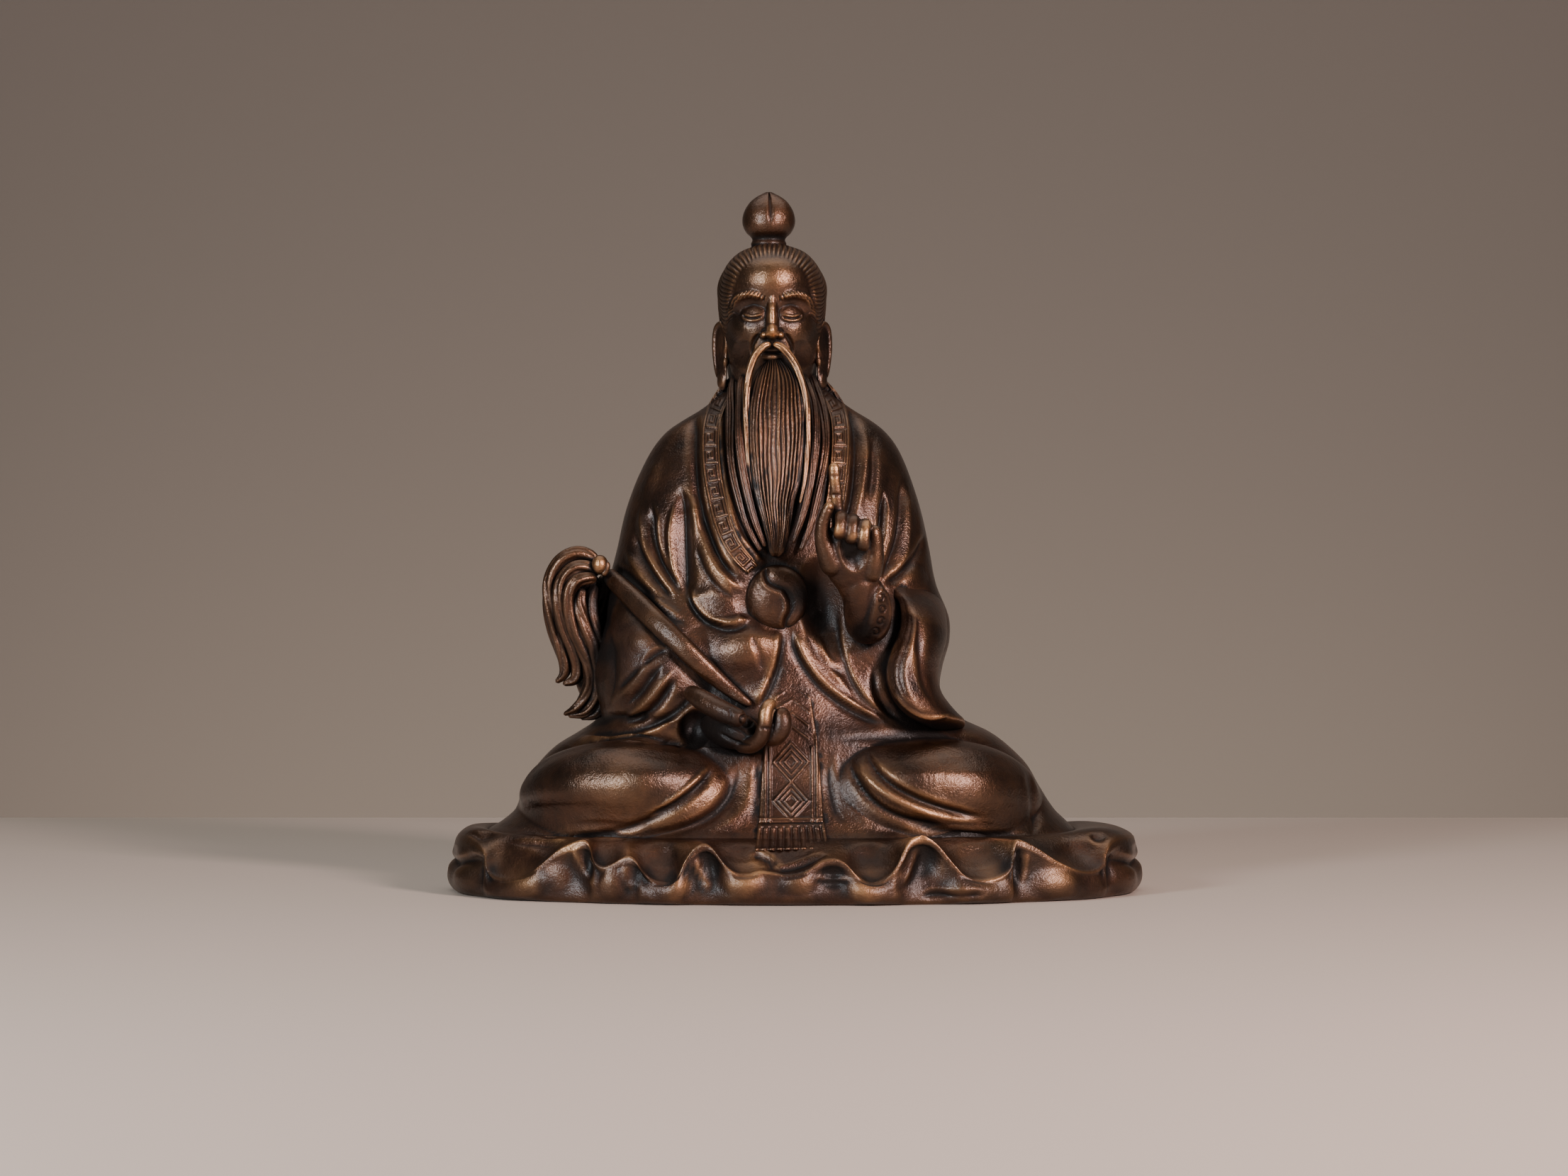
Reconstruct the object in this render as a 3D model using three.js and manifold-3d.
// A seated sage cast in bronze as one piece: a robed old man with a topknot and a long beard, sitting
// cross-legged on the spread hem of his robe. His left hand is raised, and his right hand holds a horsehair
// whisk across his lap. Millimetres, +Z up. He faces -Y, and the origin is in the middle of the underside.
import * as THREE from "three";
import { mergeVertices } from "three/addons/utils/BufferGeometryUtils.js";
import Module from "manifold-3d";

// Driving dimensions
const HEIGHT = 205.4; // floor to the tip of the topknot
const HEM_HALF_WIDTH = 103.8; // the spread hem, side to side
const HEM_HALF_DEPTH = 62.6; // the spread hem, front to back
const HEM_FULLNESS = 2.25; // how square the hem's outline is, where 2 is an ellipse
const HEM_TOP = 18; // where the hem meets the knees
const VIEW_DISTANCE = 1150; // the carving is drawn as seen from this far in front,
const VIEW_ACROSS = -3.2; // with the eye here, side to side,
const VIEW_HEIGHT = 88.6; // and this far above the floor
const BODY_X = -6; // the upright line through torso and head
const HEAD_Y = 2; // the head's middle, front to back
const HEAD_X = -6.7;
const BEARD_X = -5.2;
const TOPKNOT_X = -7.7;
const CLASP_RADIUS = 9; // the round clasp below the beard
const CLASP_SPOT = [-5.2, 86]; // where it is seen on the robe
const FINGER_RADIUS = 1.75;

// Mesh fineness
const AROUND = 50; // points round the robe
const FRONT_SHARE = 0.62; // how much of them the front gets
const WALL_ROWS = 3; // rows up the hem's wall
const SPREAD_ROWS = 2; // rows from the hem's rim in to the knees
const ROBE_ROWS = 17; // rows from the knees up to the neck

// The robe above the hem: height, left, right, front and back reach, and how square the section is
const ROBE = [
  [18, -90, 82, -48, 51, 2.5],
  [20, -86.5, 80, -46.5, 50, 2.5],
  [24, -82, 76, -44.5, 49, 2.5],
  [31, -79.5, 71.5, -41, 46, 2.5],
  [37, -75.5, 68, -39, 44, 2.5],
  [42.5, -70, 62.5, -38, 42, 2.4],
  [46.5, -63.5, 57, -37, 40.5, 2.4],
  [50, -58.5, 49.5, -36, 39, 2.3],
  [54, -57, 43.8, -35, 38, 2.3],
  [60, -57, 42.6, -33.5, 37, 2.3],
  [66, -57.5, 43.5, -32, 36.5, 2.3],
  [73, -58, 45.4, -31, 36, 2.3],
  [80, -57.5, 45.3, -30, 35.5, 2.3],
  [90, -55, 41.5, -28.5, 35, 2.3],
  [100, -52, 39.3, -26.5, 34, 2.3],
  [110, -49, 36.6, -24.5, 33, 2.3],
  [120, -45.2, 33.6, -21.5, 31, 2.2],
  [128, -41, 30.3, -18.5, 28.5, 2.2],
  [134, -36.5, 26.4, -15.5, 25.5, 2.1],
  [138, -32, 22.3, -13, 22.5, 2.1],
  [141, -27.7, 17.6, -11, 20, 2],
  [144, -24, 13.2, -9, 17.5, 2],
  [148, -20.5, 8.5, -7, 15, 2],
  [152, -18, 6, -5, 13, 2],
];

// The rim of the hem rises and dips as it goes round: place across and height, front and back
const RIM_FRONT = [
  [-102, 12], [-95, 14], [-86, 14.5], [-80, 5.8], [-73, 7], [-65, 14], [-59, 17.3], [-54, 11.5], [-50, 10.6],
  [-45.5, 13.4], [-41, 9], [-34.6, 5.4], [-30, 9], [-25.5, 17.2], [-20, 12], [-15, 8.8], [-6, 7],
  [3, 10.5], [9.5, 13.2], [15, 9.5], [21, 5.6], [27.5, 10], [31, 16], [35, 19], [40, 15.5], [44, 10],
  [51, 6.6], [57.5, 9.5], [60, 14], [63, 17], [69, 13.5], [79, 8], [86, 8.6], [92, 13], [102, 11],
];
const RIM_BACK = [
  [-102, 12], [-90, 8], [-76, 15], [-62, 7], [-46, 16], [-30, 7], [-12, 15], [6, 7], [24, 16], [42, 7],
  [58, 15], [74, 7], [90, 14], [102, 11],
];

// Large soft forms drawn on the front plane: place, half width, half height, turn in degrees, and how far
// they stand out. The power is 1 for a full round form and 1.5 for one that sinks softly into the cloth.
const mound = (across, up, wide, tall, turn, height, power) => (
  { across, up, wide, tall, turn, height, power }
);
const FORMS = [
  mound(-51, 28.5, 32, 15.5, 4, 15, 1), // right knee
  mound(43, 29, 30, 15.5, -6, 15, 1), // left knee
  mound(-43, 64, 19, 24, -12, 9, 1.5), // right sleeve
  mound(30, 66, 15, 22, 6, 5, 1.5), // lap under the left sleeve
  mound(-17, 70, 17, 11, 10, 3, 1.5), // belly
  mound(-18, 100, 11, 26, -14, 3, 1.5), // chest
  mound(9, 82, 7, 15, 10, -6, 1.5), // hollow behind the raised hand
];

// Folds of the robe: half width, how far they stand up, and their route on the front plane, [across, up]
const fold = (width, height, points) => ({ width, height, points });
const FOLDS = [
  // right knee, to the left in the drawing
  fold(2.4, 2.2, [[-22, 38.5], [-26, 32.5], [-33, 27], [-41, 23], [-50, 19.5]]),
  fold(2.4, 2.2, [[-18.4, 39], [-19.5, 31], [-26, 24.5], [-35, 19.5], [-45, 16]]),
  fold(2.2, 2, [[-14, 39], [-13.6, 30], [-16.5, 23], [-23, 17.6], [-31, 14.6]]),
  fold(2.6, 2.6, [[-27, 58.5], [-31, 54.5], [-36, 50.5], [-43, 47], [-52, 45.2], [-60, 45.4], [-68, 44.4]]),
  // left knee
  fold(2.4, 2.2, [[16.6, 40], [19, 33], [25, 28], [34, 24], [45, 20.8], [58, 19.2]]),
  fold(2.4, 2.2, [[13, 39], [14, 30], [18, 23], [25.5, 18.4], [36, 15.8]]),
  fold(2.4, 1.8, [[8, 47], [22, 47.6], [38, 46.4], [52, 44.4]]),
  // folds that run down to the lap below the raised hand
  fold(2, 2.4, [[-1.4, 76], [-0.6, 69.5], [3.2, 62.8], [8.5, 57], [15, 52.8], [26, 48.6]]),
  fold(2, 2.2, [[14, 80], [15.5, 72], [18, 65], [22.4, 57], [30, 49.4]]),
  fold(1.9, 2, [[-4, 76], [-4.8, 69], [-7.6, 61], [-11, 54.5]]),
  // left shoulder
  fold(2.6, 2, [[15, 143], [19.6, 135], [20.4, 125], [19, 116], [17, 107]]),
  fold(2.6, 2.2, [[30, 126], [33.4, 116], [33.6, 106], [31.4, 98], [26.6, 90.4]]),
  fold(2.6, 1.8, [[25.4, 128], [26, 118], [25, 108]]),
  // collar bands
  fold(3, 2, [[-23, 144], [-24.6, 134], [-24, 124], [-21.8, 113], [-18.6, 103.6], [-12.6, 95]]),
  fold(1.8, 1.8, [[-29.6, 124], [-29, 115], [-26.6, 106], [-22.6, 97], [-15.4, 89.4]]),
  fold(2.6, 2, [[11, 144], [13.6, 136], [13.4, 127], [12.2, 117], [9.6, 108]]),
  fold(2.4, 2, [[-31, 90], [-29.4, 84], [-25.6, 79.6], [-19.6, 77.6], [-13, 79.6]]),
  // right shoulder, whose folds run down to the whisk
  fold(2.6, 3, [[-36, 124], [-36.6, 113], [-36.4, 102], [-35, 92], [-32.6, 83]]),
  fold(2.2, 2.2, [[-40.6, 115], [-41, 106], [-38.8, 97.6], [-35, 89]]),
  fold(2.4, 2.4, [[-46, 112], [-45.4, 104], [-42.4, 96.6], [-38, 89.4], [-33, 83]]),
  // right sleeve, below the whisk
  fold(2.4, 2.4, [[-33.6, 66], [-37.4, 61.4], [-42, 55.6], [-49, 51]]),
  fold(2.2, 2, [[-50.6, 86], [-48.6, 78], [-45, 71]]),
];

// Pleats down the back: how far apart, how deep, and where they fade out below and above
const PLEATS = { apart: 17, depth: 1.8, low: 34, high: 132, fade: 16 };

const smooth = (low, high, x) => {
  const t = THREE.MathUtils.clamp((x - low) / (high - low), 0, 1);
  return t * t * (3 - 2 * t);
};

// A smooth curve through rows of numbers whose first column is the place
function readTable(rows, place) {
  let i = 0;
  while (i < rows.length - 2 && place > rows[i + 1][0]) i++;
  const [before, a, b] = [rows[Math.max(i - 1, 0)], rows[i], rows[i + 1]];
  const after = rows[Math.min(i + 2, rows.length - 1)];
  const span = b[0] - a[0];
  const t = THREE.MathUtils.clamp((place - a[0]) / span, 0, 1);
  return a.map((value, k) => {
    const leave = ((b[k] - before[k]) / (b[0] - before[0])) * span;
    const reach = ((after[k] - value) / (after[0] - a[0])) * span;
    return value * (2 * t ** 3 - 3 * t ** 2 + 1) + leave * (t ** 3 - 2 * t ** 2 + t)
      + b[k] * (3 * t ** 2 - 2 * t ** 3) + reach * (t ** 3 - t ** 2);
  });
}

function formHeight(u, v) {
  return FORMS.reduce((sum, form) => {
    const turn = THREE.MathUtils.degToRad(form.turn);
    const [du, dv] = [u - form.across, v - form.up];
    const p = (du * Math.cos(turn) + dv * Math.sin(turn)) / form.wide;
    const q = (dv * Math.cos(turn) - du * Math.sin(turn)) / form.tall;
    return sum + form.height * Math.max(0, 1 - p * p - q * q) ** form.power;
  }, 0);
}

// Where a point of the figure is seen on the drawing plane, and the point seen at a place at a depth
function drawn([x, y, z]) {
  const scale = VIEW_DISTANCE / (VIEW_DISTANCE + y);
  return [VIEW_ACROSS + (x - VIEW_ACROSS) * scale, VIEW_HEIGHT + (z - VIEW_HEIGHT) * scale];
}
function seenAt([u, v], y) {
  const scale = (VIEW_DISTANCE + y) / VIEW_DISTANCE;
  return [VIEW_ACROSS + (u - VIEW_ACROSS) * scale, y, VIEW_HEIGHT + (v - VIEW_HEIGHT) * scale];
}

// Closed solid from rings of points, each ring seen from above running anticlockwise, lowest ring first
function ringedSolid(rings) {
  const count = rings[0].length;
  const middle = (ring) => [0, 1, 2].map((k) => ring.reduce((sum, p) => sum + p[k], 0) / count);
  const points = [...rings.flat(), middle(rings[0]), middle(rings[rings.length - 1])];
  const foot = points.length - 2;
  const faces = [];
  for (let j = 0; j < count; j++) {
    const next = (j + 1) % count;
    const last = (rings.length - 1) * count;
    faces.push([foot, next, j], [foot + 1, last + j, last + next]);
    for (let i = 0; i < rings.length - 1; i++) {
      const [a, b, c, d] = [i * count + j, i * count + next, (i + 1) * count + next, (i + 1) * count + j];
      faces.push([a, b, c], [a, c, d]);
    }
  }
  const geometry = new THREE.BufferGeometry();
  geometry.setAttribute("position", new THREE.Float32BufferAttribute(points.flat(), 3));
  geometry.setIndex(faces.flat());
  return geometry;
}

const power = (value, exponent) => Math.sign(value) * Math.abs(value) ** exponent;

// Angles round the robe, closer together in front
function robeAngles() {
  const angles = [];
  const front = Math.round(AROUND * FRONT_SHARE);
  for (let i = 0; i < front; i++) angles.push(Math.PI + (Math.PI * i) / front);
  for (let i = 0; i < AROUND - front; i++) angles.push((Math.PI * i) / (AROUND - front));
  return angles;
}

function section([, left, right, front, back, square], angle) {
  const [c, s] = [Math.cos(angle), Math.sin(angle)];
  const middle = (left + right) / 2;
  const depth = (front + back) / 2;
  return [
    middle + ((right - left) / 2) * power(c, 2 / square),
    depth + ((back - front) / 2) * power(s, 2 / square),
  ];
}

// One upright strip of the hem: its wall from the floor to the rim, then its spread top in to the knees
const FOOT_INSET = 2.5; // the underside is this much smaller than the rim
const HOLLOW = 0.42; // how deep the wall is drawn in under a high rim, as a share of its rise
const RIM_LOW = 9; // a rim lower than this bulges instead
function hemStrip(angle) {
  const hem = [0, -HEM_HALF_WIDTH, HEM_HALF_WIDTH, -HEM_HALF_DEPTH, HEM_HALF_DEPTH, HEM_FULLNESS];
  const [x, y] = section(hem, angle);
  const [, rim] = readTable(Math.sin(angle) < 0 ? RIM_FRONT : RIM_BACK, x);
  const reach = Math.hypot(x, y);
  const rise = rim - RIM_LOW;
  const inward = (millimetres) => 1 - millimetres / reach;
  const rimInset = 0.3 * Math.max(rise, 0) + 0.6;
  const strip = [];
  for (let i = 0; i <= WALL_ROWS; i++) {
    const t = i / WALL_ROWS;
    const belly = Math.sin(Math.PI * t) * (rise > 0 ? HOLLOW * rise : 0.12 * rise - 0.8);
    const scale = inward(FOOT_INSET * (1 - smooth(0, 0.45, t)) + rimInset * t + belly);
    strip.push([x * scale, y * scale, rim * t]);
  }
  const [kneeX, kneeY] = section(ROBE[0], angle);
  for (let i = 1; i <= SPREAD_ROWS; i++) {
    const t = i / (SPREAD_ROWS + 1);
    const scale = inward(rimInset);
    const bow = Math.sin(Math.PI * t) * 0.8;
    strip.push([
      THREE.MathUtils.lerp(x * scale, kneeX, t),
      THREE.MathUtils.lerp(y * scale, kneeY, t),
      THREE.MathUtils.lerp(rim, HEM_TOP, smooth(0, 1, t)) + bow,
    ]);
  }
  return strip;
}

// Depth of the robe's plain front at a point across and up
const SIDE_CLAMP = 0.97;
function frontDepth(x, z) {
  const [, left, right, front, back, square] = readTable(ROBE, z);
  const share = Math.min(Math.abs((x - (left + right) / 2) / ((right - left) / 2)), SIDE_CLAMP);
  return (front + back) / 2 - ((back - front) / 2) * (1 - share ** square) ** (1 / square);
}

// The point of the robe seen at a drawn place, standing proud of the cloth by a depth. It is found in passes,
// because a nearer point is seen larger
const FIRST_DEPTH = -30;
const DEPTH_PASSES = 3;
function onRobe([u, v], proud) {
  let y = FIRST_DEPTH;
  for (let pass = 0; pass < DEPTH_PASSES; pass++) {
    const [x, , z] = seenAt([u, v], y);
    y = frontDepth(x, z) - formHeight(u, v);
  }
  return seenAt([u, v], y - proud);
}

// How far the back stands out in pleats at a place across and up
function pleat(x, z) {
  const below = smooth(PLEATS.low, PLEATS.low + PLEATS.fade, z);
  const fade = below * (1 - smooth(PLEATS.high - PLEATS.fade, PLEATS.high, z));
  return PLEATS.depth * fade * Math.cos((2 * Math.PI * (x - BODY_X)) / PLEATS.apart);
}

// The forms push the front of the robe out along its own normals, and the pleats the back. Both do less where
// the cloth turns edge on
const EDGE_ON = 0.1;
const FACE_ON = 0.55;
function swell(rings) {
  const at = (i, j) => new THREE.Vector3(...rings[i][(j + rings[0].length) % rings[0].length]);
  return rings.map((ring, i) => {
    if (i === 0 || i === rings.length - 1) return ring;
    return ring.map((point, j) => {
      const normal = at(i, j + 1).sub(at(i, j - 1)).cross(at(i + 1, j).sub(at(i - 1, j))).normalize();
      const facing = smooth(EDGE_ON, FACE_ON, Math.abs(normal.y));
      const height = normal.y < 0 ? formHeight(...drawn(point)) : pleat(point[0], point[2]);
      return new THREE.Vector3(...point).addScaledVector(normal, height * facing).toArray();
    });
  });
}

// A fold is a low ridge laid along its route on the cloth, thinner to its ends and sunk into the cloth below
const FOLD_STEP = 11;
const FOLD_DEPTH = 2.4;
const FOLD_SECTION = [[1, -1], [0.6, 0.85], [-0.6, 0.85], [-1, -1]]; // half widths out, heights up
const FOLD_END = 0.3; // how wide a fold still is at its ends, as a share
function foldSolid({ width, height, points }) {
  const curve = new THREE.SplineCurve(points.map(([u, v]) => new THREE.Vector2(u, v)));
  const count = Math.max(3, Math.round(curve.getLength() / FOLD_STEP));
  const spot = (u, v) => new THREE.Vector3(...onRobe([u, v], 0));
  const rings = [];
  for (let i = 0; i <= count; i++) {
    const { x: u, y: v } = curve.getPointAt(i / count);
    const outward = spot(u + 1, v).sub(spot(u - 1, v)).cross(spot(u, v + 1).sub(spot(u, v - 1))).normalize();
    const { x: du, y: dv } = curve.getTangentAt(i / count);
    const along = spot(u + du, v + dv).sub(spot(u - du, v - dv)).normalize();
    const sideways = along.clone().cross(outward).normalize();
    const taper = FOLD_END + (1 - FOLD_END) * Math.sin((Math.PI * (i + 0.5)) / (count + 1)) ** 0.7;
    rings.push(FOLD_SECTION.map(([out, up]) => spot(u, v)
      .addScaledVector(sideways, out * width * taper)
      .addScaledVector(outward, up > 0 ? up * height * taper : up * FOLD_DEPTH).toArray()));
  }
  return outwardFacing(ringedSolid(rings));
}

// Turn a solid right side out where its rings ran the other way round
function outwardFacing(geometry) {
  const [index, position] = [geometry.index.array, geometry.attributes.position];
  const corner = (k) => new THREE.Vector3().fromBufferAttribute(position, index[k]);
  let volume = 0;
  for (let k = 0; k < index.length; k += 3) {
    volume += corner(k).dot(corner(k + 1).cross(corner(k + 2)));
  }
  if (volume < 0) {
    for (let k = 0; k < index.length; k += 3) [index[k], index[k + 1]] = [index[k + 1], index[k]];
  }
  return geometry;
}

function robe() {
  const angles = robeAngles();
  const strips = angles.map(hemStrip);
  const rings = strips[0].map((_, i) => strips.map((strip) => strip[i]));
  const top = ROBE[ROBE.length - 1][0];
  for (let i = 0; i <= ROBE_ROWS; i++) {
    const height = HEM_TOP + (top - HEM_TOP) * (i / ROBE_ROWS);
    const row = readTable(ROBE, height);
    rings.push(angles.map((angle) => [...section(row, angle), height]));
  }
  return ringedSolid(swell(rings));
}

// Head and beard, in rows of height, half width, front and back
const HEAD = [
  [140, 11, -10, 16], [147, 12.6, -13.5, 18], [153, 13.8, -15.6, 19.8], [159, 14.6, -17, 21],
  [165, 15.2, -17.6, 22], [171, 15.7, -18, 22.4], [176, 15.6, -17.8, 22], [180.5, 14.4, -16.6, 20.4],
  [184, 12.2, -14, 17.6], [186.6, 9.2, -10.4, 13.6], [188.4, 4.6, -5, 8],
];
const HEAD_SIDES = 18;
const BEARD = [
  [98.6, 1.8, -32, -20], [103, 4.2, -33, -18], [110, 6.4, -32.6, -16], [118, 8, -31.6, -14],
  [126, 9, -30.4, -12], [134, 9.5, -28.6, -10], [142, 9.4, -26, -8], [148, 8.6, -23.2, -6],
  [153, 7.2, -20, -4], [156, 4.6, -17, -2],
];
const BEARD_SIDES = 11;

// The topknot is turned, in rows of radius and height
const TOPKNOT = [
  [0, 186], [4.6, 186], [4, 189.6], [5.4, 191.4], [7.2, 193.6], [7.7, 196.4], [7.3, 199.4], [5.7, 202.4],
  [3.2, 204.6], [0, HEIGHT],
];
const TOPKNOT_SIDES = 12;

// Limbs of the head, in rows of the reach out from the middle, depth, height and radius
const NOSE = [[0, -17, 169, 1.5], [0, -19.6, 164, 1.9], [0, -20.4, 160.6, 2.6]];
const BROW = [
  [-11, -12, 171, 1], [-6, -16.4, 171.6, 1.7], [0, -17, 170.4, 1.2], [6, -16.4, 171.6, 1.7],
  [11, -12, 171, 1],
];
const EAR = [[15.2, 3, 148.5, 1.7], [15.9, 4, 156, 1.6], [15.2, 5, 164.5, 2.2]];
const SIDE_HAIR = [[13.4, -5, 160, 2.2], [13, -9, 150, 2.8], [13.2, -12, 140, 2.6], [12.4, -16, 130, 1.2]];
const MOUSTACHE = [
  [1, -17.2, 157.6, 1.2], [4.6, -16.8, 155.4, 1.5], [7.4, -19.2, 149, 1.4], [8.6, -21.8, 140, 1.3],
  [8.4, -25, 130, 1.2], [6.6, -28.4, 119, 0.7],
];

function ringsFrom(rows, middleX, sides) {
  return ringedSolid(rows.map(([height, half, front, back]) => Array.from({ length: sides }, (_, j) => {
    const angle = (2 * Math.PI * (j + 0.5)) / sides;
    const depth = (front + back) / 2;
    return [middleX + half * Math.cos(angle), depth + ((back - front) / 2) * Math.sin(angle), height];
  })));
}

// A limb is a closed tube that swells and thins along a smooth route, with blunt ends. A row is a point and a
// radius
const LIMB_CAP = { beyond: 0.6, share: 0.75 };
function limb(rows, { sides = 6, steps = 1, flat = 1 } = {}) {
  const curve = new THREE.CatmullRomCurve3(rows.map(([x, y, z]) => new THREE.Vector3(x, y, z)));
  const count = steps * (rows.length - 1);
  const frames = curve.computeFrenetFrames(count);
  const radii = rows.map((row, i) => [i / (rows.length - 1), row[3]]);
  const stations = [{ i: 0, beyond: -LIMB_CAP.beyond, share: LIMB_CAP.share }];
  for (let i = 0; i <= count; i++) stations.push({ i, beyond: 0, share: 1 });
  stations.push({ i: count, ...LIMB_CAP });
  return ringedSolid(stations.map(({ i, beyond, share }) => {
    const [, full] = readTable(radii, i / count);
    const centre = curve.getPoint(i / count).addScaledVector(frames.tangents[i], beyond * full);
    return Array.from({ length: sides }, (_, j) => {
      const angle = (2 * Math.PI * j) / sides;
      return centre.clone()
        .addScaledVector(frames.normals[i], full * share * Math.cos(angle))
        .addScaledVector(frames.binormals[i], full * share * flat * Math.sin(angle)).toArray();
    });
  }));
}

// A limb whose rows are a drawn place, a depth and a radius
function seenLimb(rows, options) {
  return limb(rows.map(([u, v, depth, radius]) => [...seenAt([u, v], depth), radius]), options);
}

function topknot() {
  const profile = TOPKNOT.map(([radius, height]) => new THREE.Vector2(radius, height));
  return new THREE.LatheGeometry(profile, TOPKNOT_SIDES).rotateX(Math.PI / 2).translate(TOPKNOT_X, HEAD_Y, 0);
}

function headPieces() {
  const placed = (rows, side, middle) => rows.map(([out, ...rest]) => [middle + side * out, ...rest]);
  return [
    ringsFrom(HEAD, HEAD_X, HEAD_SIDES),
    topknot(),
    ringsFrom(BEARD, BEARD_X, BEARD_SIDES),
    limb(placed(NOSE, 1, HEAD_X)),
    limb(placed(BROW, 1, HEAD_X), { sides: 5 }),
    ...[-1, 1].flatMap((side) => [
      limb(placed(EAR, side, HEAD_X)),
      limb(placed(SIDE_HAIR, side, HEAD_X)),
      limb(placed(MOUSTACHE, side, BEARD_X), { sides: 5 }),
    ]),
  ];
}

// The horsehair whisk lies across the right sleeve. Its tail arches over the knob and hangs down beside it
const KNOB = [-58, 93.5];
const KNOB_RADIUS = 2.9;
const HANDLE_PROUD = 1.4;
const HANDLE = [
  [-56.4, 93.8, 2.1], [-47.5, 85, 2.7], [-37, 74.8, 3], [-26, 65, 2.8], [-13, 54.2, 1.9], // place and radius
];
const TAIL_DEPTHS = [-10, -9, -8, -7, -6, -6];
const TAIL_LOCKS = [
  [[-63, 97.4, 3], [-68.4, 95, 4], [-70.8, 87, 4.2], [-70.4, 77, 3.8], [-69.6, 69, 3], [-69.6, 61.4, 1.2]],
  [[-61.6, 94.6, 3], [-65, 90, 4.4], [-66, 82, 4.6], [-65, 73, 4.2], [-64.4, 63, 3.6], [-66.6, 52.6, 1.2]],
  [[-60.4, 90, 2.6], [-60.6, 84, 3.8], [-60.6, 77, 4.4], [-60, 68.5, 4.4], [-59.6, 59, 4], [-60, 52.2, 1.4]],
];
const LOCK_ROOT_RADIUS = 1.6;
function whisk() {
  const knob = onRobe(KNOB, HANDLE_PROUD);
  const root = [...KNOB, knob[1], LOCK_ROOT_RADIUS];
  return [
    limb(HANDLE.map(([u, v, radius]) => [...onRobe([u, v], HANDLE_PROUD), radius]), { sides: 8, steps: 2 }),
    new THREE.SphereGeometry(KNOB_RADIUS, 10, 6).rotateX(Math.PI / 2).translate(...knob),
    ...TAIL_LOCKS.map((lock) => seenLimb(
      [root, ...lock.map(([u, v, radius], i) => [u, v, TAIL_DEPTHS[i], radius])],
    )),
  ];
}

// The left sleeve hangs open from the raised forearm, and its mouth's edge is an S on the side of the lap.
// A row is a height, the mouth's edge, the outer side, the front and the back
const LEFT_SLEEVE = [
  [47.5, 34, 49.6, -42, -22], [51, 30.4, 48.6, -44.6, -14], [56, 27, 44.8, -43.6, -8],
  [62, 25.4, 44.2, -42, -4], [70, 26, 45, -40, 0], [77, 28.4, 45.2, -38.6, 4],
  [84, 28.4, 43.6, -35.6, 6], [91, 26, 40.8, -29, 6], [97, 27, 38.4, -20, 6],
];
const SLEEVE_SIDES = 12;
const SLEEVE_FULLNESS = 3;
function leftSleeve() {
  const angles = Array.from({ length: SLEEVE_SIDES }, (_, j) => (2 * Math.PI * (j + 0.5)) / SLEEVE_SIDES);
  return ringedSolid(LEFT_SLEEVE.map(([height, mouth, outer, front, back]) => angles.map((angle) => (
    [...section([height, mouth, outer, front, back, SLEEVE_FULLNESS], angle), height]
  ))));
}

// The sash hangs between the knees with a fringe across its foot, in rows of height, left edge and right edge
const SASH = [[66, -2.6, 4.6], [58, -6, 5.6], [46, -9, 6.4], [34, -9.8, 7.4], [19.6, -10.8, 8.6]];
const FRINGE = [[20.2, -11.4, 9.2], [10.6, -12.2, 9.8]];
const SASH_THICKNESS = 1.4;
const FRINGE_THICKNESS = 2.2;
const SLAB_BEHIND = 6; // how far a slab reaches back into the robe
function slab(rows, proud) {
  return ringedSolid(rows.toReversed().map(([up, left, right]) => {
    const [a, middle, b] = [left, (left + right) / 2, right].map((across) => onRobe([across, up], proud));
    return [a, middle, b, [b[0], b[1] + SLAB_BEHIND, b[2]], [a[0], a[1] + SLAB_BEHIND, a[2]]];
  }));
}

// The hands, in rows of a drawn place, a depth and a radius
const FOREARM = [[25, 74, -26, 9], [23, 80, -37, 7], [20, 87, -43, 5], [18, 93, -46, 5]];
const RAISED_PALM = [[18.4, 91, -46, 5], [16.6, 97, -46.6, 7.8], [16.4, 103, -46, 8.6]];
const RAISED_PALM_FLAT = 0.42;
const POINTING_FINGER = [
  [12.4, 103, -46, 2], [11.8, 110, -47, FINGER_RADIUS], [11.8, 117.4, -48, 1.6], [11.8, 123.8, -48, 1.5],
];
const RAISED_THUMB = [
  [13, 95, -48, 2.6], [8.8, 101, -49, 2.4], [8.3, 107, -50.4, 1.9], [10.1, 112.2, -51, 1.5],
];
const CURLED_FINGERS = [{ across: 13.4, drop: 0 }, { across: 17.2, drop: 1 }, { across: 21, drop: 2 }];
function raisedHand() {
  return [
    seenLimb(FOREARM, { sides: 9 }),
    seenLimb(RAISED_PALM, { sides: 10, flat: RAISED_PALM_FLAT }),
    seenLimb(POINTING_FINGER, { sides: 7 }),
    seenLimb(RAISED_THUMB, { sides: 7 }),
    ...CURLED_FINGERS.map(({ across, drop }) => seenLimb([
      [across, 101, -46, FINGER_RADIUS], [across, 107.6, -48.4, FINGER_RADIUS],
      [across, 108.2, -53, FINGER_RADIUS], [across, 104 - drop, -54, 1.6], [across, 101 - drop, -50, 1.3],
    ])),
  ];
}

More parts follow.
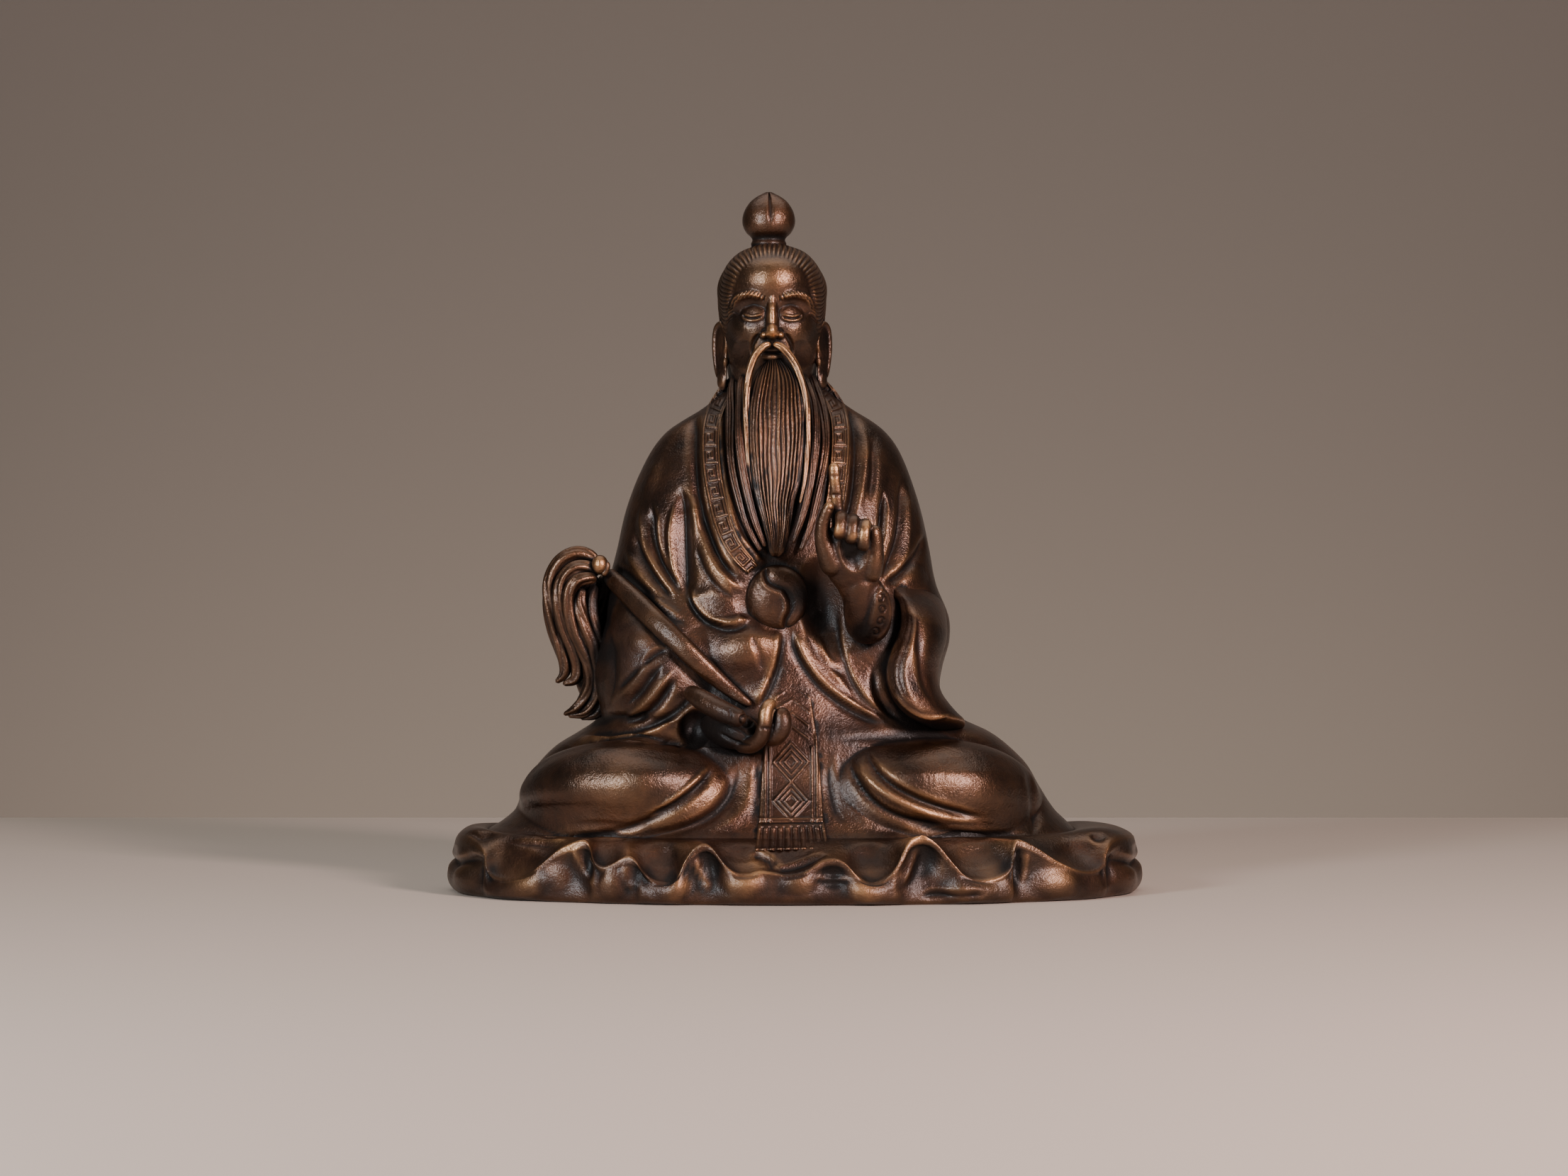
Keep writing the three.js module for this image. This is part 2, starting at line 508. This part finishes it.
const WRIST = [[-40, 56, -34, 7], [-33, 53, -38, 6.4], [-25, 50, -42, 5.6]];
const LAP_PALM = [[-27, 50, -42, 5.6], [-21, 47.6, -45, 6.4], [-15.6, 46.6, -46, 5.4]];
const LAP_PALM_FLAT = 0.9;
const LAP_THUMB = [[-28, 54.6, -44, 3], [-21.6, 52.4, -49, 2.8], [-14.8, 49.6, -52, 2.4]];
const LAP_FINGERS = [
  [
    [-20, 46, -46, 2.4], [-13.5, 44.6, -50, 2.4], [-8.4, 46, -52, 2.1], [-7.6, 50.4, -51, 1.8],
    [-9.4, 53.4, -48, 1.3],
  ],
  [
    [-20, 45, -46, 2.4], [-13.5, 42, -50, 2.4], [-8.4, 44.4, -52, 2.1], [-7.6, 47.8, -51, 1.8],
    [-9.4, 50.8, -48, 1.3],
  ],
];
function lapHand() {
  return [
    seenLimb(WRIST, { sides: 9 }),
    seenLimb(LAP_PALM, { sides: 9, flat: LAP_PALM_FLAT }),
    seenLimb(LAP_THUMB, { sides: 7 }),
    ...LAP_FINGERS.map((finger) => seenLimb(finger)),
  ];
}

// The clasp is a turned boss, in rows of radius and how far it stands out
const CLASP = [
  [0, -5], [CLASP_RADIUS - 1, -5], [CLASP_RADIUS, -3], [CLASP_RADIUS, 0], [CLASP_RADIUS - 1.6, 1.6], [4, 2.6],
  [0, 3],
];
function clasp() {
  const profile = CLASP.map(([radius, out]) => new THREE.Vector2(radius, out));
  return new THREE.LatheGeometry(profile, 16).rotateX(Math.PI).translate(...onRobe(CLASP_SPOT, 1));
}

// Join everything into the one casting
const WELD = 1e-4;
const wasm = await Module();
wasm.setup();

function solidOf(geometry) {
  const bare = geometry.clone();
  bare.deleteAttribute("normal");
  bare.deleteAttribute("uv");
  const merged = mergeVertices(bare, WELD);
  const made = new wasm.Manifold(new wasm.Mesh({
    numProp: 3,
    vertProperties: new Float32Array(merged.attributes.position.array),
    triVerts: new Uint32Array(merged.index.array),
  }));
  if (made.volume() < 0) throw new Error("a piece is inside out");
  return made;
}

function geometryOf(solid) {
  const mesh = solid.getMesh();
  const geometry = new THREE.BufferGeometry();
  geometry.setAttribute("position", new THREE.BufferAttribute(new Float32Array(mesh.vertProperties), 3));
  geometry.setIndex(new THREE.BufferAttribute(new Uint32Array(mesh.triVerts), 1));
  return geometry;
}

const pieces = [
  robe(), ...FOLDS.map(foldSolid),
  ...headPieces(), ...whisk(), leftSleeve(), ...raisedHand(), ...lapHand(), clasp(),
  slab(SASH, SASH_THICKNESS), slab(FRINGE, FRINGE_THICKNESS),
];
const casting = pieces.map(solidOf).reduce((whole, piece) => whole.add(piece));

const bronze = new THREE.MeshStandardMaterial({ color: 0x5a3a22, roughness: 0.35, metalness: 1 });
const figure = new THREE.Mesh(geometryOf(casting), bronze);
figure.name = "cast_figure";
const group = new THREE.Group();
group.add(figure);
export default group;
